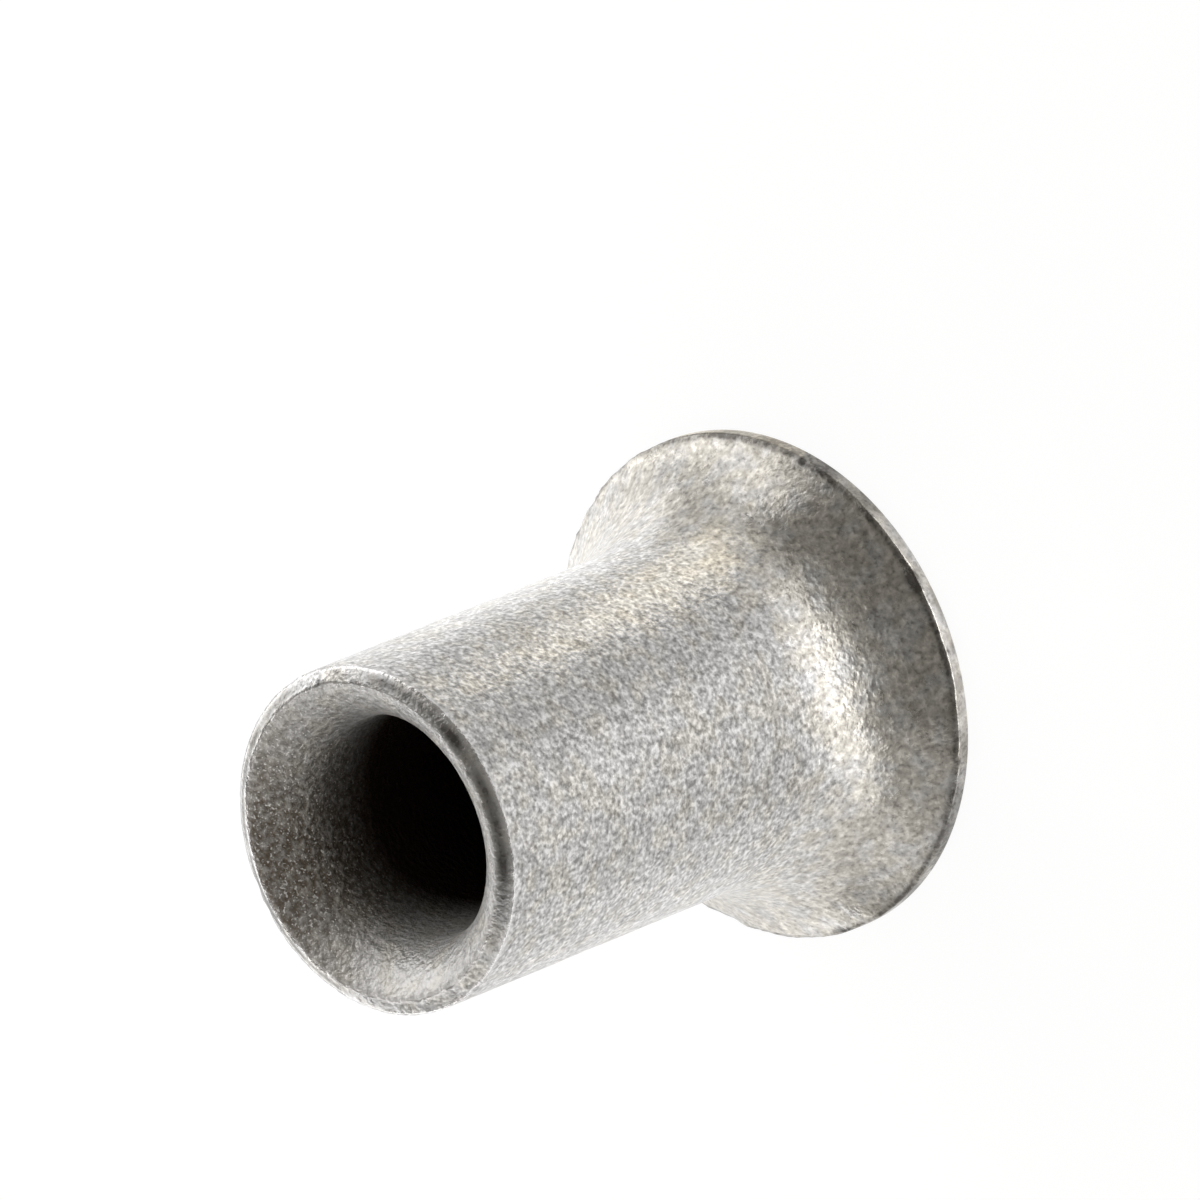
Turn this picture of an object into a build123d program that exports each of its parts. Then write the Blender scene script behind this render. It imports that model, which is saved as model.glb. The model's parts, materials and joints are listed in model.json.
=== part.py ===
from build123d import *
import os
from math import cos, radians, sin, tan

# A self-piercing rivet: one cold-formed piece of steel with a flat, trumpet-flared head and a hollow leg.
# It stands on its head. The origin is the middle of the head face, and +Z runs along the axis to the
# open end of the leg. Lengths are millimetres, and angles are degrees.

# Whole rivet
LENGTH = 9.0
SHANK_DIAMETER = 5.3
HEAD_DIAMETER = 7.75
EDGE_RADIUS = 0.06

# Head: an upright rim at the edge, and a hollow flare that runs from it into the shank.
# The angle is between the flare and the axis, where the flare meets the rim.
RIM_HEIGHT = 0.24
FLARE_ANGLE = 54.0

# Leg end: a narrow bevelled lip that rises inwards to a crest, and the mouth that rolls into the bore.
# The mouth's angle is between its curve and the axis, at the crest.
LIP_WIDTH = 0.26
LIP_SLOPE = 29.0
MOUTH_ANGLE = 65.0

# Bore: blind, with a rounded floor, over the solid metal behind the head face.
BORE_DIAMETER = 3.4
BORE_FLOOR_RADIUS = 0.9
HEAD_WEB = 2.2

shank_radius = SHANK_DIAMETER / 2
head_radius = HEAD_DIAMETER / 2
bore_radius = BORE_DIAMETER / 2


def roll_height(width, angle):
    """Height of an arc that leaves the axis direction and has moved sideways by width when it reaches angle."""
    radius = width / (1 - cos(radians(angle)))
    return radius * sin(radians(angle))


flare_end = RIM_HEIGHT + roll_height(head_radius - shank_radius, FLARE_ANGLE)
crest_radius = shank_radius - LIP_WIDTH
lip_start = LENGTH - LIP_WIDTH * tan(radians(LIP_SLOPE))
mouth_end = LENGTH - roll_height(crest_radius - bore_radius, MOUTH_ANGLE)
floor_start = HEAD_WEB + BORE_FLOOR_RADIUS
floor_flat_radius = bore_radius - BORE_FLOOR_RADIUS


def at(radius, height):
    """A point of the half section, in the XZ plane."""
    return Vector(radius, 0, height)


def outer_lines():
    """Head face, rim, flare, shank and lip, from the axis out and up to the crest."""
    return [
        Line(at(0, 0), at(head_radius, 0)),
        Line(at(head_radius, 0), at(head_radius, RIM_HEIGHT)),
        TangentArc(at(shank_radius, flare_end), at(head_radius, RIM_HEIGHT), tangent=(0, 0, -1)),
        Line(at(shank_radius, flare_end), at(shank_radius, lip_start)),
        Line(at(shank_radius, lip_start), at(crest_radius, LENGTH)),
    ]


def inner_lines():
    """Mouth, bore wall and rounded floor, from the crest down to the axis and back to the head face."""
    return [
        TangentArc(at(bore_radius, mouth_end), at(crest_radius, LENGTH), tangent=(0, 0, 1)),
        Line(at(bore_radius, mouth_end), at(bore_radius, floor_start)),
        TangentArc(at(bore_radius, floor_start), at(floor_flat_radius, HEAD_WEB), tangent=(0, 0, -1)),
        Line(at(floor_flat_radius, HEAD_WEB), at(0, HEAD_WEB)),
        Line(at(0, HEAD_WEB), at(0, 0)),
    ]


def half_section():
    """The rivet's section on one side of the axis, with its outer corners worn round and its crest left keen."""
    face = make_face(outer_lines() + inner_lines())
    corners = [
        at(head_radius, 0),
        at(head_radius, RIM_HEIGHT),
        at(shank_radius, lip_start),
    ]
    worn = [face.vertices().sort_by_distance(corner)[0] for corner in corners]
    return fillet(worn, EDGE_RADIUS)


def rivet():
    """The whole rivet, turned about its axis."""
    return revolve(half_section(), Axis.Z)


os.makedirs("parts", exist_ok=True)
export_step(rivet(), "parts/rivet.step")
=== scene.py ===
import json
from math import cos, pi, radians, sin, tan

import bpy
import numpy as np
from mathutils import Matrix, Quaternion, Vector, noise


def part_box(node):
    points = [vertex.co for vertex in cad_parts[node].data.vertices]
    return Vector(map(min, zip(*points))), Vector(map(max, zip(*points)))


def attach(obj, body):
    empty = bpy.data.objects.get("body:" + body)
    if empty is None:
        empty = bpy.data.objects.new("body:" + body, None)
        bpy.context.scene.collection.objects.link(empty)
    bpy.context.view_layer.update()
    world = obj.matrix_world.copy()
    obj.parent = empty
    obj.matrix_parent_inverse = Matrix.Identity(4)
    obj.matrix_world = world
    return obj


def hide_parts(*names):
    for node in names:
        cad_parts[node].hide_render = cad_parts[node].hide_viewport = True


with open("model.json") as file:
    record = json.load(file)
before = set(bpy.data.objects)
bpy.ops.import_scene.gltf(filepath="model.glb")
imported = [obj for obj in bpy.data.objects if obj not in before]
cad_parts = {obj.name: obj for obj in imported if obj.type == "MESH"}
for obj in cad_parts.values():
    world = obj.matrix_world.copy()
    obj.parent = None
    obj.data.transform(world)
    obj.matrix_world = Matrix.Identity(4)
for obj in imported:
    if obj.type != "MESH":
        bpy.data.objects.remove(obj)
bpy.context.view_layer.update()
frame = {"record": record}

# The rivet stands on its head, with its leg up. Lengths are millimetres until a mesh or a place is written,
# and MM turns them into metres. A turn about the rivet is in degrees, and zero on the camera's side. Seen from
# above, marks on the rivet turn clockwise, and lamps and pads turn the other way.
MM = 0.001
FULL_TURN = 360
MOUNTS = {m["name"]: m for m in frame["record"]["mounts"]}
LOW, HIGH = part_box("rivet")

# Sizes from the frame
LENGTH = (HIGH[2] - LOW[2]) / MM
HEAD_RADIUS = (HIGH[0] - LOW[0]) / 2 / MM
SHANK_RADIUS = MOUNTS["shank"]["dims"]["r_mm"]
BORE_RADIUS = MOUNTS["bore"]["dims"]["r_mm"]

# The rest of the form, as in the solid, and the radius that the lip's crest is worn to
RIM_HEIGHT = 0.24
FLARE_ANGLE = radians(54)
LIP_WIDTH = 0.26
LIP_SLOPE = radians(29)
MOUTH_ANGLE = radians(65)
BORE_FLOOR_RADIUS = 0.9
HEAD_WEB = 2.2
EDGE_RADIUS = 0.06
CREST_WORN = 0.15

# Points worked out from these
FLARE_RADIUS = (HEAD_RADIUS - SHANK_RADIUS) / (1 - cos(FLARE_ANGLE))
FLARE_END = RIM_HEIGHT + FLARE_RADIUS * sin(FLARE_ANGLE)
FLARE_CENTRE = (SHANK_RADIUS + FLARE_RADIUS, FLARE_END)
CREST_RADIUS = SHANK_RADIUS - LIP_WIDTH
LIP_START = LENGTH - LIP_WIDTH * tan(LIP_SLOPE)
LIP_MIDDLE = (SHANK_RADIUS - LIP_WIDTH / 2, (LIP_START + LENGTH) / 2)
MOUTH_RADIUS = (CREST_RADIUS - BORE_RADIUS) / (1 - cos(MOUTH_ANGLE))
MOUTH_END = LENGTH - MOUTH_RADIUS * sin(MOUTH_ANGLE)
MOUTH_CENTRE = (BORE_RADIUS + MOUTH_RADIUS, MOUTH_END)
FLOOR_START = HEAD_WEB + BORE_FLOOR_RADIUS
CREST_REACH = CREST_WORN * tan((LIP_SLOPE + pi / 2 - MOUTH_ANGLE) / 2)
LIP_END = (CREST_RADIUS + CREST_REACH * cos(LIP_SLOPE), LENGTH - CREST_REACH * sin(LIP_SLOPE))
CREST_CENTRE = (LIP_END[0] - CREST_WORN * sin(LIP_SLOPE), LIP_END[1] - CREST_WORN * cos(LIP_SLOPE))
MOUTH_START = pi - MOUTH_ANGLE + CREST_REACH / MOUTH_RADIUS

# Mesh: points round the axis, steps along the section, and a strip of the flare beside the rim with finer
# steps
AROUND = 320
TURNS = np.arange(AROUND) * 2 * pi / AROUND
FINE_STEP = 0.052
COARSE_STEP = 0.13
FACE_STEP = 0.3
EDGE_STEPS = 4
RIM_STEPS = 5
RIM_ZONE = 0.3
RIM_ZONE_STEP = FINE_STEP / 2
RIM_ZONE_END = pi + FLARE_ANGLE - RIM_ZONE / FLARE_RADIUS
# What the middle of the head face and the middle of the bore floor take of every value at the points
END_VALUES = (0, 1)

# Seeds of the uneven values by their use, and how far one seed moves the noise
SEEDS = {
    "grain": 1, "pebbles": 2, "wave": 3,
    "rim_wave": 4, "rim_jag": 14,
    "crest_nicks": 5, "crest_dips": 6, "crest_wave": 9, "crest_jag": 15,
    "corner_nicks": 7, "corner_dips": 8, "corner_jag": 16,
    "shade_line_reach": 10, "shade_line_level": 11, "band": 12, "lip_line": 13,
}
NOISE_SHIFT = (17.3, 5.9, 11.1)

# Grain of the plating in the mesh: a coarse one, smaller pebbles on it, and a slow waviness under both
GRAIN_PITCH = 0.15
GRAIN_SHARE = 0.7
PEBBLE_RATIO = 1.9
PEBBLE_SHARE = 0.45
GRAIN_HEIGHT = 0.004
WAVE_PITCH = 0.9
WAVE_HEIGHT = 0.006

# Wear of the edges: how far it reaches, its waves and jags, and how many times further a rim dent drops than
# it leans inward
EDGE_REACH = 0.05
DENT_REACH = 0.1
EDGE_PITCH = 0.45
RIM_WAVE = 0.03
LIP_WAVE = 0.018
JAG_PITCH = 0.13
RIM_JAG = 0.025
LIP_JAG = 0.014
DENT_STEEPNESS = 3
# How bright the edges are rubbed, and how far below the rim's edge the painted glints lie
RIM_RUB = 0.05
LIP_RUB = 0.1
GLINT_DROP = 0.06

# Marks round an edge: turn in degrees, strength, and half width in millimetres. The strength of a dent is its
# depth.
RIM_DENTS = ((-11, 0.03, 0.25), (35, 0.05, 0.12), (39, 0.04, 0.1), (128, 0.06, 0.3))
# Painted shade: dark notches and patches beside the rim
RIM_SHADE_MARKS = ((-11.5, 0.8, 0.1), (-9.3, 1.5, 0.12), (-7, 1.0, 0.1), (-3, 0.7, 0.1),
            (-19, 0.5, 0.16), (7, 0.4, 0.2), (128, 0.6, 0.25), (215, 0.5, 0.3))
# Painted glints on the rim's band: white highlights put in the base colour
RIM_GLINTS = ((-5.5, 1.0, 0.1), (-2, 0.6, 0.1), (2.5, 0.7, 0.14), (9, 0.6, 0.2),
              (34, 0.8, 0.05), (36.5, 0.7, 0.05), (124, 0.8, 0.1))
# Painted shade: where the dark line beside the rim is stronger
SHADE_LINE_SPREAD = ((-75, 0.35, 1.5), (-15, 0.75, 4.5), (62, 0.4, 2.0))
# Painted shade: where the rim's band is darker
BAND_SPREAD = ((-72, 0.5, 1.6), (62, 0.3, 1.6))
# Painted shade: where the dark line along the lip is painted
LIP_SHADE = ((-55, 0.7, 0.5), (-28, 1.0, 0.6), (0, 0.9, 0.6), (27, 1.0, 0.6), (52, 0.6, 0.5),
            (135, 0.7, 0.8), (165, 0.95, 0.8), (195, 1.0, 0.8), (225, 0.95, 0.8), (253, 0.5, 0.7))
# Painted shade: where the mouth's shaded side is painted brown-dark
SHADED_SIDE = ((185, 1.0, 2.5),)
# Painted light: where the mouth's lit side is painted lighter and its painted shade begins deeper
LIT_SIDE = ((103, 0.6, 1.4), (-70, 0.2, 1.0))
LIP_NICKS = 14
NICK_DEPTHS = (0.01, 0.03)
NICK_WIDTHS = (0.06, 0.14)

# Painted shade: dark lines beside the rim, on its band and along the lip
SHADE_LINE_AWAY = 0.06
SHADE_LINE_MIDDLE = (HEAD_RADIUS - SHADE_LINE_AWAY * sin(FLARE_ANGLE), RIM_HEIGHT + SHADE_LINE_AWAY * cos(FLARE_ANGLE))
SHADE_LINE_REACH = 0.065
SHADE_LINE_REACH_UNEVEN = 0.5
SHADE_LINE_LEVEL = 0.1
SHADE_LINE_LEVEL_UNEVEN = 0.5
NOTCH_REACH = 0.09
BAND_SHADE = 0.45
LIP_LINE_REACH = 0.085

# Painted shade inside: what counts as inside, where the painted shade down the bore begins, how deep it fades
# to black, how much deeper it begins on the side where light falls, and how much the dull level inside is
# lifted
INSIDE_ABOVE = HEAD_WEB / 2
BORE_SHADE_TOP = 8.3
BORE_SHADE_DEPTH = 1.25
LIT_DROP = 1.9
INNER_LIFT = 0.4

# Noises of the material: pitch in millimetres, and detail
FINE_NOISE = (0.072, 2.0)
GRIT_NOISE = (0.1, 3.0)
PATCH_NOISE = (0.3, 2.0)
TINT_NOISE = (0.35, 1.0)
CLOUD_NOISE = (0.13, 3.0)
FLECK_NOISE = (0.034, 1.0)
SPARK_NOISE = (0.04, 0.0)
# The part of a noise, or of another value, that a share follows
WIDE_SPAN = (0.3, 0.7)
MIDDLE_SPAN = (0.35, 0.65)
PIT_SPAN = (0.34, 0.42)
RUB_SPAN = (0.35, 0.6)
LINE_SPAN = (0.25, 0.95)
MOUTH_SHADE_SPAN = (0.35, 1.0)
FLECK_SPAN = (0.58, 0.76)
SPARK_SPAN = (0.67, 0.75)

# Grain of the plating in the material: how the mesh's grain and the fine one share it, its peaks, painted
# light as painted highlight, and its pits, painted dark as painted shade
SKIN_SHARES = (0.2, 0.8)
PEAK_POWER = 1.8
PIT_SHARES = (0.28, 0.0)
# Evenness that the heading die gives the flare: how much of the contrast of the grain's painted shade and
# highlights it takes, half from each end, and over how much of the flare it grows
BURNISH = 0.56
BURNISH_SHARE = 0.5
# Clouds of duller and brighter plating, weaker on the shank than on the flare
CLOUD_DEPTH = 0.17
CLOUD_SHARES = (0.4, 1.0)
# Tint of the plating from warm to cool, and how much warmer the flare is
TINT_SHARES = (0.3, 1.3)
FLARE_WARMTH = 0.6
# Shares of the rubbed edges and painted glints, the painted dark lines with their ragged edges, and the
# mouth's painted shade, flecks and painted sparkles inside
RUB_SHARES = (0.4, 1.0)
LINE_RAGGED = 0.4
LINE_SHARES = (0.0, 0.85)
MOUTH_SHADE_SHARES = (0.85, 0.4)
FLECK_SHARES = (0.0, 0.75)
SPARK_SHARES = (0.0, 1.0)
# Colours
# The peak colours paint highlight on the grain's peaks, and the hollow colours paint shade in its hollows
PEAK_LIGHT_WARM = (0.92, 0.884, 0.815, 1)
PEAK_LIGHT_COOL = (0.91, 0.90, 0.895, 1)
HOLLOW_SHADE_WARM = (0.296, 0.277, 0.247, 1)
HOLLOW_SHADE_COOL = (0.29, 0.286, 0.283, 1)
# Painted shade in the grain's pits
PIT_SHADE_COLOUR = (0.1, 0.096, 0.092, 1)
# Colour of the rubbed edges, which also paints the glints on the rim and the highlight lines along the lip
RUBBED_AND_GLINT_COLOUR = (0.86, 0.845, 0.845, 1)
# Colour of the painted shade lines
SHADE_LINE_COLOUR = (0.07, 0.064, 0.058, 1)
# Brown-dark colour of the mouth's painted shade
MOUTH_SHADE_COLOUR = (0.12, 0.084, 0.047, 1)
FLECK_COLOUR = (0.70, 0.68, 0.67, 1)
# Colour of the painted sparkles inside
SPARK_COLOUR = (0.9, 0.88, 0.86, 1)
# Colour of the painted shade down the bore
BORE_SHADE_COLOUR = (0.033, 0.0205, 0.014, 1)
# Gloss, metal and relief
ROUGHNESS = (0.26, 0.34)
RUBBED_GLOSS = 0.06
INNER_DULL = 0.12
INNER_METAL = 0.5
FINE_HEIGHT = 0.016
INNER_HEIGHT = 0.03

# Camera
AIM = Vector((2.05, 0.0, 2.68)) * MM
DISTANCE = 381.5 * MM
ELEVATION = radians(45.46)
ROLL = radians(-111.76)
LENS = 776.2
SENSOR = 36.0

# Floor: its size, how bright the camera and the metal see it, and its paint for other rays and for the camera
FLOOR_HALF = 1000.0
FLOOR_DROP = 0.02
FLOOR_SEEN = 0.92
FLOOR_MIRRORED = 0.62
FLOOR_PAINT = (0.4, 0.15)
# Light of the room
ROOM_LIGHT = 0.26
ROOM_COLOUR = (1.0, 0.97, 0.91, 1.0)
WHITE = (1, 1, 1)
WARM = (1.0, 0.92, 0.74)

# Soft lamps that face the rivet: turn and rise in degrees, distance, width and height in millimetres, and
# strength
LAMPS = {
    "back_left": (136, 20, 60, 45, 30, 1.8),
    "back_left_low": (150, 6, 40, 26, 10, 0.8),
    "back": (180, 12, 60, 40, 20, 2.6),
    "back_right": (212, 42, 70, 40, 40, 0.97),
    "back_right_low": (215, 6, 40, 26, 10, 1.87),
    "left": (95, 18, 60, 36, 26, 1.5),
    "left_high": (110, 45, 70, 40, 40, 0.9),
    "right": (262, 14, 60, 36, 22, 0.96),
    "right_high": (250, 45, 70, 40, 40, 0.7),
    "right_low": (300, 4, 40, 22, 9, 1.22),
    "front_right": (292, 32, 60, 34, 26, 0.35),
}
# Light pads that lie on the floor: turn in degrees, distance, width and depth in millimetres, strength and
# colour
PAD_HEIGHT = 0.02
PADS = {
    "pad_front": (-8, 24, 44, 20, 0.2, WHITE),
    "pad_front_right": (-15, 22, 12, 18, 0.9, WHITE),
    "pad_right": (-50, 22, 20, 18, 0.36, WHITE),
    "pad_left": (71, 7, 2.8, 7, 0.75, WARM),
}
# A ring of pads close round the rivet: their strengths, one after another round the turn from the front
RING_REACH = 8.0
RING_DEPTH = 9.0
RING = (0.34, 0.0, 0.08, 0.0, 0.72, 0.75, 0.5, 0.34, 0.43, 0.36, 0.15, 0.23)
# Low strips that stand on the floor in front, with a narrow beam to the rivet: strength by turn in degrees
STRIPS = {-70: 0.06, -45: 0.18, -20: 0.32, 5: 0.33, 30: 0.15}
STRIP_REACH = 7.5
STRIP_WIDTH = 3.3
STRIP_HEIGHT = 1.3
STRIP_BEAM = radians(50)


# Section of the rivet
def line(start, end, step):
    """Points from start up to, but not with, end."""
    start, end = np.array(start), np.array(end)
    count = max(1, round(float(np.hypot(*(end - start))) / step))
    return [start + (end - start) * i / count for i in range(count)]


def arc(centre, radius, first, last, step):
    """Points of an arc from the first angle up to, but not with, the last."""
    count = max(1, round(abs(last - first) * radius / step))
    turns = [first + (last - first) * i / count for i in range(count)]
    return [np.array(centre) + radius * np.array([cos(t), sin(t)]) for t in turns]


def section():
    """The half section as points (radius, height), from the head face's middle to the bore floor's middle."""
    edge_step = EDGE_RADIUS * pi / 2 / EDGE_STEPS
    floor_flat = BORE_RADIUS - BORE_FLOOR_RADIUS
    points = line((0, 0), (HEAD_RADIUS - EDGE_RADIUS, 0), FACE_STEP)
    points += arc((HEAD_RADIUS - EDGE_RADIUS, EDGE_RADIUS), EDGE_RADIUS, -pi / 2, 0, edge_step)
    points += line((HEAD_RADIUS, EDGE_RADIUS), (HEAD_RADIUS, RIM_HEIGHT), RIM_HEIGHT / RIM_STEPS)
    points += arc(FLARE_CENTRE, FLARE_RADIUS, pi + FLARE_ANGLE, RIM_ZONE_END, RIM_ZONE_STEP)
    points += arc(FLARE_CENTRE, FLARE_RADIUS, RIM_ZONE_END, pi, FINE_STEP)
    points += line((SHANK_RADIUS, FLARE_END), (SHANK_RADIUS, LIP_START), FINE_STEP)
    points += line((SHANK_RADIUS, LIP_START), LIP_END, FINE_STEP)
    points += arc(CREST_CENTRE, CREST_WORN, pi / 2 - LIP_SLOPE, pi - MOUTH_ANGLE, edge_step)
    points += arc(MOUTH_CENTRE, MOUTH_RADIUS, MOUTH_START, pi, FINE_STEP)
    points += line((BORE_RADIUS, MOUTH_END), (BORE_RADIUS, FLOOR_START), COARSE_STEP)
    points += arc((floor_flat, FLOOR_START), BORE_FLOOR_RADIUS, 0, -pi / 2, COARSE_STEP)
    points += line((floor_flat, HEAD_WEB), (0, HEAD_WEB), COARSE_STEP)
    points.append(np.array([0.0, HEAD_WEB]))
    return np.array(points)


def outward(outline):
    """The surface's direction at each point of the outline."""
    run = np.gradient(outline, axis=0)
    out = np.stack([run[:, 1], -run[:, 0]], 1)
    return out / np.linalg.norm(out, axis=1)[:, None]


def turned(outline):
    """The outline turned about Z, as rings of points."""
    grid = np.empty((len(outline), AROUND, 3))
    grid[..., 0] = outline[:, :1] * np.cos(TURNS)
    grid[..., 1] = outline[:, :1] * np.sin(TURNS)
    grid[..., 2] = outline[:, 1:]
    return grid


# Unevenness and marks
def gap(outline, radius, height):
    """How far each point of the outline is from a point of the section."""
    return np.hypot(outline[:, 0] - radius, outline[:, 1] - height)


def near(outline, radius, height, reach):
    """One at a point of the section, falling to zero within a few reaches of it."""
    return np.exp(-(gap(outline, radius, height) / reach) ** 2)


def on_band(rings):
    """True on the rim's upright band and close beside it."""
    return (rings[:, 0] > HEAD_RADIUS - EDGE_RADIUS)[:, None]


def rough(points, pitch, use):
    """Noise between about -1 and 1 whose pebbles are a pitch apart."""
    shift = Vector([SEEDS[use] * step for step in NOISE_SHIFT])
    values = [noise.noise(Vector(p) / pitch + shift) for p in points.reshape(-1, 3)]
    return np.array(values).reshape(points.shape[:-1])


def edge_wave(radius, pitch, use):
    """Uneven values round an edge, one for each point of a ring."""
    return rough(turned(np.array([[radius, 0.0]])), pitch, use)[0]


def marks(radius, places):
    """Strength of the marks round an edge, one for each point of a ring."""
    total = np.zeros(AROUND)
    for turn, strength, half in places:
        away = (TURNS + radians(turn) + pi / 2 + pi) % (2 * pi) - pi
        total += strength * np.exp(-(away * radius / half) ** 2)
    return total


def nick_places(use):
    """Small nicks strewn round the lip."""
    dice = np.random.RandomState(SEEDS[use])
    ranges = ((0, FULL_TURN), NICK_DEPTHS, NICK_WIDTHS)
    return [tuple(dice.uniform(*span) for span in ranges) for _ in range(LIP_NICKS)]


def chipped(radius, nicks, dips):
    """How deep the nicks and dips are round an edge of the lip."""
    return marks(radius, nick_places(nicks)) + LIP_WAVE * np.abs(edge_wave(radius, EDGE_PITCH, dips))


# The rivet's skin
def worn_edges(rings, grid):
    """The rings with their edges dented, wavy and nicked."""
    rim = near(rings, HEAD_RADIUS, RIM_HEIGHT, DENT_REACH)[:, None]
    crest = near(rings, CREST_RADIUS, LENGTH, EDGE_REACH)[:, None]
    corner = near(rings, SHANK_RADIUS, LIP_START, EDGE_REACH)[:, None]
    rim_uneven = RIM_WAVE * edge_wave(HEAD_RADIUS, EDGE_PITCH, "rim_wave")
    rim_uneven = rim_uneven + RIM_JAG * edge_wave(HEAD_RADIUS, JAG_PITCH, "rim_jag")
    rim_drop = rim * (marks(HEAD_RADIUS, RIM_DENTS) + rim_uneven)
    crest_drop = crest * chipped(CREST_RADIUS, "crest_nicks", "crest_dips")
    crest_uneven = LIP_WAVE * edge_wave(CREST_RADIUS, EDGE_PITCH, "crest_wave")
    crest_uneven = crest_uneven + LIP_JAG * edge_wave(CREST_RADIUS, JAG_PITCH, "crest_jag")
    corner_cut = corner * chipped(SHANK_RADIUS, "corner_nicks", "corner_dips")
    corner_jag = corner * LIP_JAG * np.abs(edge_wave(SHANK_RADIUS, JAG_PITCH, "corner_jag"))
    inward = corner_cut + corner_jag + crest * crest_uneven + rim_drop / DENT_STEEPNESS
    grid = grid.copy()
    grid[..., :2] *= (1 - inward / np.maximum(rings[:, :1], BORE_RADIUS))[..., None]
    grid[..., 2] -= rim_drop + crest_drop
    return grid


def wear_and_glint_values(rings):
    """How bright the worn edges are rubbed, with painted highlight lines along the lip's corner and crest and
    painted glints on the rim's band.
    """
    rim = near(rings, HEAD_RADIUS, RIM_HEIGHT - GLINT_DROP, EDGE_REACH)[:, None]
    lip = ((rings[:, 0] > CREST_RADIUS) & (rings[:, 1] > LIP_START)) * LIP_RUB
    lip = np.maximum(lip, near(rings, SHANK_RADIUS, LIP_START, EDGE_REACH))
    lip = np.maximum(lip, near(rings, CREST_RADIUS, LENGTH, EDGE_REACH))
    rub_and_glint = np.maximum(rim * RIM_RUB + on_band(rings) * RIM_RUB, lip[:, None])
    return {"wear_and_glints": rub_and_glint + rim * marks(HEAD_RADIUS, RIM_GLINTS)}


def burnish_values(rings):
    """How far the heading die has evened the grain: not on the shank, and more and more down the flare."""
    down = (FLARE_END - rings[:, 1:]) / (FLARE_END - RIM_HEIGHT)
    return {"burnish": np.clip(down / BURNISH_SHARE, 0, 1) * np.ones(AROUND)}


def line_values(rings):
    """Painted shade: the dark line and notches beside the rim, the rim's dark band, and the dark line along
    the lip.
    """
    reach = SHADE_LINE_REACH * (1 + SHADE_LINE_REACH_UNEVEN * edge_wave(HEAD_RADIUS, EDGE_PITCH, "shade_line_reach"))
    # Painted shade line beside the rim
    shade_lines = np.exp(-(gap(rings, *SHADE_LINE_MIDDLE)[:, None] / reach) ** 2)
    uneven = 1 + SHADE_LINE_LEVEL_UNEVEN * edge_wave(HEAD_RADIUS, EDGE_PITCH, "shade_line_level")
    level = SHADE_LINE_LEVEL + marks(HEAD_RADIUS, SHADE_LINE_SPREAD) * uneven
    # Painted shade in the notches beside the rim
    notch = near(rings, *SHADE_LINE_MIDDLE, NOTCH_REACH)[:, None] * marks(HEAD_RADIUS, RIM_SHADE_MARKS)
    # The rim's band painted darker, as painted shade
    band = on_band(rings) * BAND_SHADE * (1 + edge_wave(HEAD_RADIUS, EDGE_PITCH, "band"))
    band = band + on_band(rings) * marks(HEAD_RADIUS, BAND_SPREAD)
    # Painted shade line along the lip
    lip_line = near(rings, *LIP_MIDDLE, LIP_LINE_REACH)[:, None] * marks(SHANK_RADIUS, LIP_SHADE)
    lip_line = lip_line * (1 + edge_wave(SHANK_RADIUS, EDGE_PITCH, "lip_line"))
    return {"shade_lines": np.max([shade_lines * level, notch, band, lip_line], axis=0)}


def inside_values(rings):
    """Painted shade: brown-dark on the mouth's shaded side and fading to black down the bore, and the mouth's
    lit side painted lighter.
    """
    inside = ((rings[:, 0] < CREST_RADIUS) & (rings[:, 1] > INSIDE_ABOVE))[:, None]
    lit_side = marks(CREST_RADIUS, LIT_SIDE)
    # Painted shade down the bore, beginning deeper on the lit side
    depth = (BORE_SHADE_TOP - LIT_DROP * lit_side - rings[:, 1:]) / BORE_SHADE_DEPTH
    return {
        "mouth_shade": inside * marks(CREST_RADIUS, SHADED_SIDE),
        "bore_shade": np.clip(depth, 0, 1) * inside,
        "inner": inside * np.ones(AROUND),
        "inner_lift": inside * (INNER_LIFT + lit_side),
    }


def ring_faces(rings):
    """Faces between rings of points, closed by a point at each end."""
    first, last = rings * AROUND, rings * AROUND + 1
    top = (rings - 1) * AROUND
    faces = []
    for i in range(AROUND):
        j = (i + 1) % AROUND
        faces.append((first, j, i))
        faces.append((last, top + i, top + j))
        faces += [(k + i, k + j, k + AROUND + j, k + AROUND + i) for k in range(0, top, AROUND)]
    return faces


def add_values(mesh, values):
    """Writes the values at the mesh's points, with the two end points last."""
    for name, value in values.items():
        numbers = np.concatenate([value.ravel(), END_VALUES])
        attribute = mesh.attributes.new(name, "FLOAT", "POINT")
        attribute.data.foreach_set("value", numbers.astype(np.float32))


def rivet_mesh():
    """The closed skin, with its grain in the mesh and its wear, painted glints and painted shade as values at
    the points.
    """
    outline = section()
    rings = outline[1:-1]
    grid = turned(rings)
    out = turned(outward(outline)[1:-1])
    grain = GRAIN_SHARE * rough(grid, GRAIN_PITCH, "grain")
    grain = grain + PEBBLE_SHARE * rough(grid, GRAIN_PITCH / PEBBLE_RATIO, "pebbles")
    wave = rough(grid, WAVE_PITCH, "wave")
    skinned = rings[:, 1] > EDGE_RADIUS
    lift = (grain * GRAIN_HEIGHT + wave * WAVE_HEIGHT) * skinned[:, None]
    skin = worn_edges(rings, grid) + out * lift[..., None]
    ends = [[0, 0, outline[0, 1]], [0, 0, outline[-1, 1]]]
    points = np.concatenate([skin.reshape(-1, 3), ends])
    mesh = bpy.data.meshes.new("rivet_skin")
    mesh.from_pydata((points * MM).tolist(), [], ring_faces(len(rings)))
    mesh.polygons.foreach_set("use_smooth", [True] * len(mesh.polygons))
    add_values(mesh, {"grain": (1 + grain) / 2})
    for values in (wear_and_glint_values, burnish_values, line_values, inside_values):
        add_values(mesh, values(rings))
    mesh.update()
    return mesh


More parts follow.
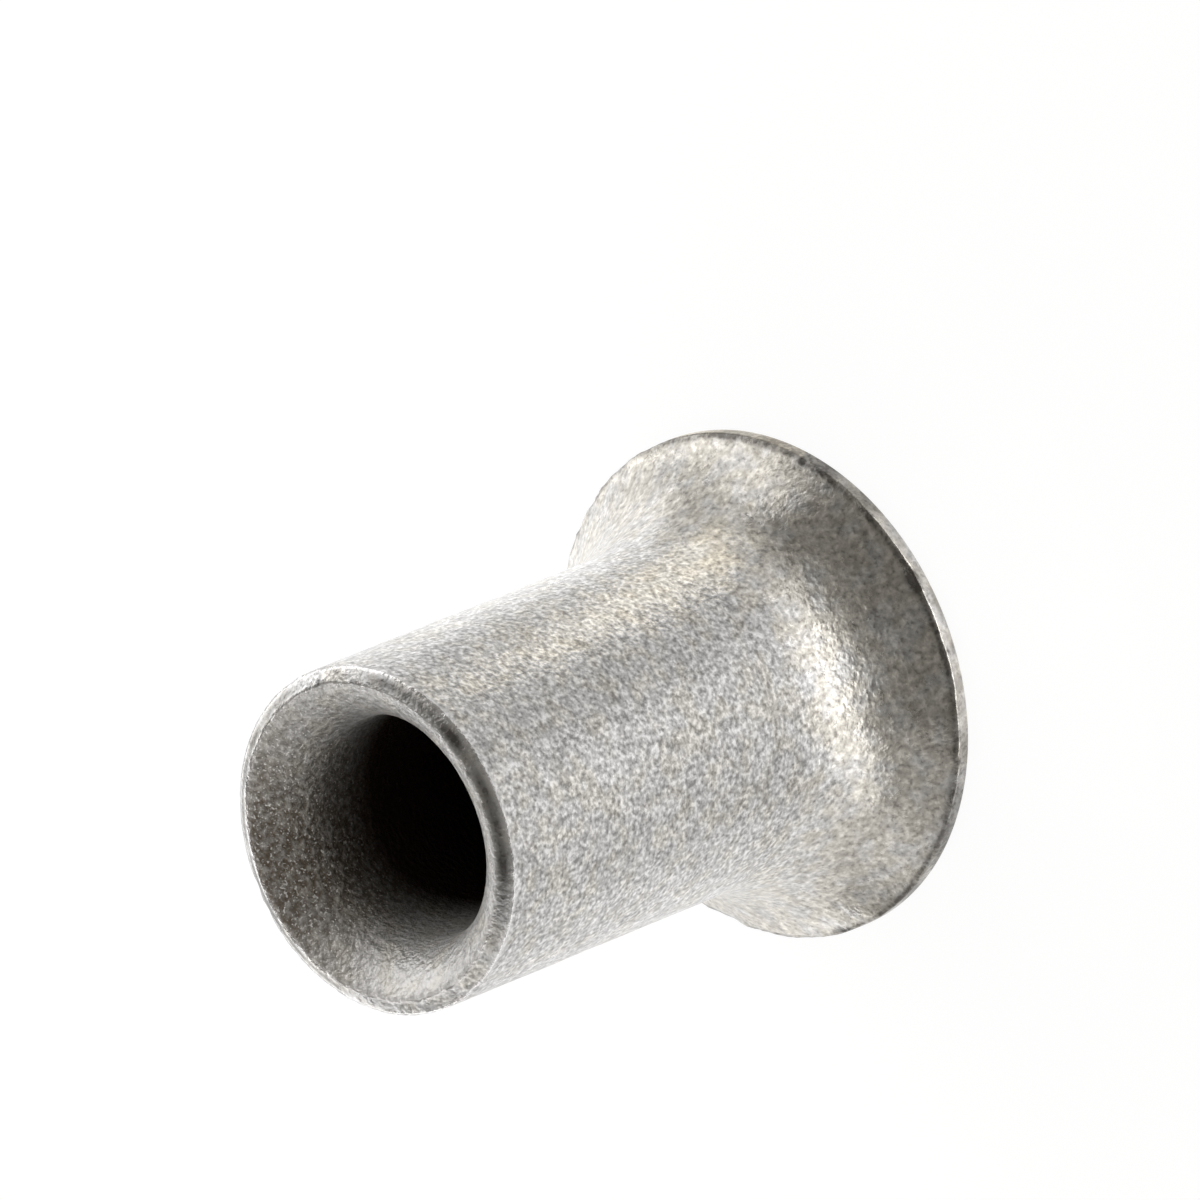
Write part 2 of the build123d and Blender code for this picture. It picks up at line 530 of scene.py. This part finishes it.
# Materials
class Tree:
    """Short calls for building a material's nodes."""

    # Sockets of a Mix node that mixes colours
    MIX_FIRST, MIX_SECOND, MIX_RESULT = 6, 7, 2

    def __init__(self, tree):
        self.tree = tree

    def put(self, socket, value):
        """Links a socket to another one, or sets its number or colour."""
        if isinstance(value, bpy.types.NodeSocket):
            self.tree.links.new(value, socket)
        else:
            socket.default_value = value

    def node(self, kind, **sockets):
        """A new node with these sockets set."""
        made = self.tree.nodes.new(kind)
        for name, value in sockets.items():
            self.put(made.inputs[name], value)
        return made

    def math(self, operation, first, second, clamp=False):
        """The result of one operation on two numbers."""
        made = self.tree.nodes.new("ShaderNodeMath")
        made.operation = operation
        made.use_clamp = clamp
        self.put(made.inputs[0], first)
        self.put(made.inputs[1], second)
        return made.outputs[0]

    def mix(self, share, first, second):
        """The first colour with a share of the second."""
        made = self.tree.nodes.new("ShaderNodeMix")
        made.data_type = "RGBA"
        self.put(made.inputs[0], share)
        self.put(made.inputs[self.MIX_FIRST], first)
        self.put(made.inputs[self.MIX_SECOND], second)
        return made.outputs[self.MIX_RESULT]

    def between(self, value, results, span=(0.0, 1.0)):
        """A number that goes from the first result to the second while the value goes over the span."""
        made = self.tree.nodes.new("ShaderNodeMapRange")
        for socket, number in zip(made.inputs, (value, *span, *results)):
            self.put(socket, number)
        return made.outputs[0]

    def noise(self, where, pitch, detail):
        """Noise whose grains are a pitch apart."""
        made = self.node("ShaderNodeTexNoise", Vector=where, Scale=1 / (pitch * MM), Detail=detail)
        return made.outputs["Fac"]

    def value(self, name):
        """A value that the mesh carries at its points."""
        made = self.tree.nodes.new("ShaderNodeAttribute")
        made.attribute_name = name
        return made.outputs["Fac"]


def brightness(tree, where, at, height):
    """How bright the plating is painted: painted shade in the grain's hollows, painted highlight on its peaks.
    """
    evened = tree.math("MULTIPLY", at["burnish"], BURNISH / 2)
    # Inside, the dull level is lifted, more on the mouth's lit side as painted light
    lowest = tree.math("ADD", evened, at["inner_lift"])
    peaks = tree.between(height, (lowest, tree.math("SUBTRACT", 1.0, evened)), WIDE_SPAN)
    cloud = tree.between(tree.noise(where, *CLOUD_NOISE), (-CLOUD_DEPTH, CLOUD_DEPTH), MIDDLE_SPAN)
    cloud = tree.math("MULTIPLY", cloud, tree.between(at["burnish"], CLOUD_SHARES))
    return tree.math("POWER", tree.math("ADD", peaks, cloud, clamp=True), PEAK_POWER)


def plating(tree, where, at, height, bright):
    """Colour of the plating with its warm and cool places, and painted shade and highlight on its grain's
    hollows, pits and peaks.
    """
    tint = tree.between(tree.noise(where, *TINT_NOISE), TINT_SHARES, MIDDLE_SPAN)
    tint = tree.math("SUBTRACT", tint, tree.math("MULTIPLY", at["burnish"], FLARE_WARMTH), clamp=True)
    hollow_shade = tree.mix(tint, HOLLOW_SHADE_WARM, HOLLOW_SHADE_COOL)
    peak_light = tree.mix(tint, PEAK_LIGHT_WARM, PEAK_LIGHT_COOL)
    outside = tree.math("SUBTRACT", 1.0, at["inner"])
    # Painted shade in the pits of the grain, outside only
    pit_shade = tree.math("MULTIPLY", tree.between(height, PIT_SHARES, PIT_SPAN), outside)
    return tree.mix(pit_shade, tree.mix(bright, hollow_shade, peak_light), PIT_SHADE_COLOUR)


def with_painted_light(tree, where, at, height, bright, colour):
    """The colour with the painted dark lines, and inside with the mouth's painted shade, flecks, painted
    sparkles and painted shade down the bore.
    """
    # The painted shade lines, with ragged edges
    ragged = tree.math("ADD", at["shade_lines"], tree.between(height, (-LINE_RAGGED, LINE_RAGGED), WIDE_SPAN))
    colour = tree.mix(tree.between(ragged, LINE_SHARES, LINE_SPAN), colour, SHADE_LINE_COLOUR)
    # Painted shade, brown-dark, on the mouth's shaded side
    mouth_shaded = tree.math("MULTIPLY", at["mouth_shade"], tree.between(bright, MOUTH_SHADE_SHARES, MOUTH_SHADE_SPAN))
    colour = tree.mix(mouth_shaded, colour, MOUTH_SHADE_COLOUR)
    fleck = tree.between(tree.noise(where, *FLECK_NOISE), FLECK_SHARES, FLECK_SPAN)
    colour = tree.mix(tree.math("MULTIPLY", at["inner"], fleck), colour, FLECK_COLOUR)
    # Painted sparkles: white highlights in the base colour inside
    spark = tree.between(tree.noise(where, *SPARK_NOISE), SPARK_SHARES, SPARK_SPAN)
    colour = tree.mix(tree.math("MULTIPLY", at["inner"], spark), colour, SPARK_COLOUR)
    # Painted shade fading to black down the bore
    return tree.mix(at["bore_shade"], colour, BORE_SHADE_COLOUR)


def roughness(tree, at, patch, rub_and_glint):
    """Roughness in patches, less on rubbed edges and more inside."""
    gloss = tree.between(patch, ROUGHNESS, WIDE_SPAN)
    gloss = tree.math("SUBTRACT", gloss, tree.math("MULTIPLY", rub_and_glint, RUBBED_GLOSS))
    return tree.math("ADD", gloss, tree.math("MULTIPLY", at["inner"], INNER_DULL))


def relief(tree, at, fine, grit):
    """The normal of the fine grain, lower on the flare, and of the grit inside."""
    depth = tree.between(at["burnish"], (FINE_HEIGHT * MM, FINE_HEIGHT * MM * (1 - BURNISH)))
    depth = tree.math("ADD", depth, tree.math("MULTIPLY", at["inner"], INNER_HEIGHT * MM))
    height = tree.between(at["inner"], (fine, grit))
    return tree.node("ShaderNodeBump", Strength=1.0, Distance=depth, Height=height).outputs["Normal"]


def plated_steel():
    """Plated steel with a pebbled grain, worn edges, painted glints and painted shade."""
    material = bpy.data.materials.new("plated_steel")
    material.use_nodes = True
    tree = Tree(material.node_tree)
    shader = material.node_tree.nodes["Principled BSDF"]
    where = tree.node("ShaderNodeTexCoord").outputs["Object"]
    names = ("grain", "wear_and_glints", "shade_lines", "mouth_shade", "bore_shade", "inner", "inner_lift", "burnish")
    at = {name: tree.value(name) for name in names}
    fine, grit, patch = [tree.noise(where, *kind) for kind in (FINE_NOISE, GRIT_NOISE, PATCH_NOISE)]
    coarse_share, fine_share = SKIN_SHARES
    coarse = tree.math("MULTIPLY", at["grain"], coarse_share)
    skin = tree.math("ADD", coarse, tree.math("MULTIPLY", fine, fine_share))
    height = tree.between(at["inner"], (skin, grit))
    bright = brightness(tree, where, at, height)
    # Rubbed edges with the painted glints and highlight lines
    rub_and_glint = tree.math("MULTIPLY", at["wear_and_glints"], tree.between(patch, RUB_SHARES, RUB_SPAN), clamp=True)
    colour = tree.mix(rub_and_glint, plating(tree, where, at, height, bright), RUBBED_AND_GLINT_COLOUR)
    tree.put(shader.inputs["Base Color"], with_painted_light(tree, where, at, height, bright, colour))
    tree.put(shader.inputs["Roughness"], roughness(tree, at, patch, rub_and_glint))
    tree.put(shader.inputs["Metallic"], tree.between(at["inner"], (1.0, INNER_METAL)))
    tree.put(shader.inputs["Normal"], relief(tree, at, fine, grit))
    return material


def add_rivet():
    """The skin in place of the CAD solid."""
    mesh = rivet_mesh()
    mesh.materials.append(plated_steel())
    piece = bpy.data.objects.new("rivet_skin", mesh)
    bpy.context.scene.collection.objects.link(piece)
    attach(piece, "root")
    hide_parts("rivet")


# Stage
def white_floor():
    """Matt paint that the camera and the metal see lifted to white, with a faint shadow left on it."""
    material = bpy.data.materials.new("white_floor")
    material.use_nodes = True
    material.node_tree.nodes.clear()
    tree = Tree(material.node_tree)
    path = tree.node("ShaderNodeLightPath").outputs
    seen = tree.math("MULTIPLY", path["Is Camera Ray"], FLOOR_SEEN)
    mirrored = tree.math("MAXIMUM", path["Is Glossy Ray"], path["Is Transmission Ray"])
    lift = tree.math("MAXIMUM", seen, tree.math("MULTIPLY", mirrored, FLOOR_MIRRORED))
    paint = tree.between(path["Is Camera Ray"], FLOOR_PAINT)
    glow = tree.node("ShaderNodeEmission", Strength=lift)
    matt = tree.node("ShaderNodeBsdfDiffuse", Color=paint)
    both = tree.node("ShaderNodeAddShader")
    tree.put(both.inputs[0], glow.outputs[0])
    tree.put(both.inputs[1], matt.outputs[0])
    tree.node("ShaderNodeOutputMaterial", Surface=both.outputs[0])
    return material


def add_floor():
    """A wide plain floor just under the rivet."""
    half = FLOOR_HALF * MM
    corners = [(-half, -half, 0), (half, -half, 0), (half, half, 0), (-half, half, 0)]
    mesh = bpy.data.meshes.new("floor")
    mesh.from_pydata(corners, [], [(0, 1, 2, 3)])
    mesh.materials.append(white_floor())
    floor = bpy.data.objects.new("floor", mesh)
    floor.location.z = -FLOOR_DROP * MM
    bpy.context.scene.collection.objects.link(floor)


def add_world():
    """A dim room all round."""
    world = bpy.data.worlds.new("studio")
    bpy.context.scene.world = world
    world.use_nodes = True
    room = world.node_tree.nodes["Background"]
    room.inputs["Color"].default_value = ROOM_COLOUR
    room.inputs["Strength"].default_value = ROOM_LIGHT


def add_panel(name, width, height, strength, colour):
    """A soft panel that the camera doesn't see, with the strength its surface shines at."""
    data = bpy.data.lights.new(name, "AREA")
    data.shape = "RECTANGLE"
    data.size = width * MM
    data.size_y = height * MM
    data.color = colour
    data.energy = strength * width * height * MM * MM * pi
    panel = bpy.data.objects.new(name, data)
    panel.visible_camera = False
    panel.rotation_mode = "QUATERNION"
    bpy.context.scene.collection.objects.link(panel)
    return panel


def add_lamp(name, turn, rise, distance, width, height, strength):
    """A panel that faces the rivet."""
    turn, rise = radians(turn), radians(rise)
    away = Vector((cos(rise) * sin(turn), -cos(rise) * cos(turn), sin(rise)))
    lamp = add_panel(name, width, height, strength, WHITE)
    lamp.location = away * distance * MM
    lamp.rotation_quaternion = away.to_track_quat("Z", "Y")


def add_pad(name, turn, reach, width, depth, strength, colour):
    """A panel that lies on the floor and shines up."""
    turn = radians(turn)
    pad = add_panel(name, width, depth, strength, colour)
    pad.location = Vector((reach * sin(turn), -reach * cos(turn), PAD_HEIGHT)) * MM
    pad.rotation_quaternion = Quaternion((0, 0, 1), turn) @ Quaternion((1, 0, 0), pi)


def add_ring():
    """The pads close round the rivet."""
    width = 2 * pi * RING_REACH / len(RING)
    for place, strength in enumerate(RING):
        turn = FULL_TURN * place / len(RING)
        add_pad("ring", turn, RING_REACH, width, RING_DEPTH, strength, WHITE)


def add_strip(turn, strength):
    """A panel that stands on the floor, with a narrow beam towards the rivet."""
    turn = radians(turn)
    away = Vector((sin(turn), -cos(turn), 0))
    strip = add_panel("strip", STRIP_WIDTH, STRIP_HEIGHT, strength, WHITE)
    strip.data.spread = STRIP_BEAM
    strip.location = (away * STRIP_REACH + Vector((0, 0, STRIP_HEIGHT / 2))) * MM
    strip.rotation_quaternion = away.to_track_quat("Z", "Y")


def add_camera():
    """The camera at the photograph's place, turned about its own line of sight."""
    back = Vector((0, -cos(ELEVATION), sin(ELEVATION)))
    level = Vector((1, 0, 0))
    rise = back.cross(level)
    right = level * cos(ROLL) + rise * sin(ROLL)
    up = back.cross(right)
    facing = Matrix((right, up, back)).transposed().to_4x4()
    data = bpy.data.cameras.new("camera")
    data.sensor_width = SENSOR
    data.lens = LENS
    camera = bpy.data.objects.new("camera", data)
    bpy.context.scene.collection.objects.link(camera)
    camera.matrix_world = Matrix.Translation(AIM + back * DISTANCE) @ facing
    bpy.context.scene.camera = camera


bpy.context.scene.view_settings.view_transform = "Standard"
add_rivet()
add_floor()
add_world()
for lamp_name, lamp in LAMPS.items():
    add_lamp(lamp_name, *lamp)
for pad_name, pad in PADS.items():
    add_pad(pad_name, *pad)
add_ring()
for strip_turn, strip_strength in STRIPS.items():
    add_strip(strip_turn, strip_strength)
add_camera()
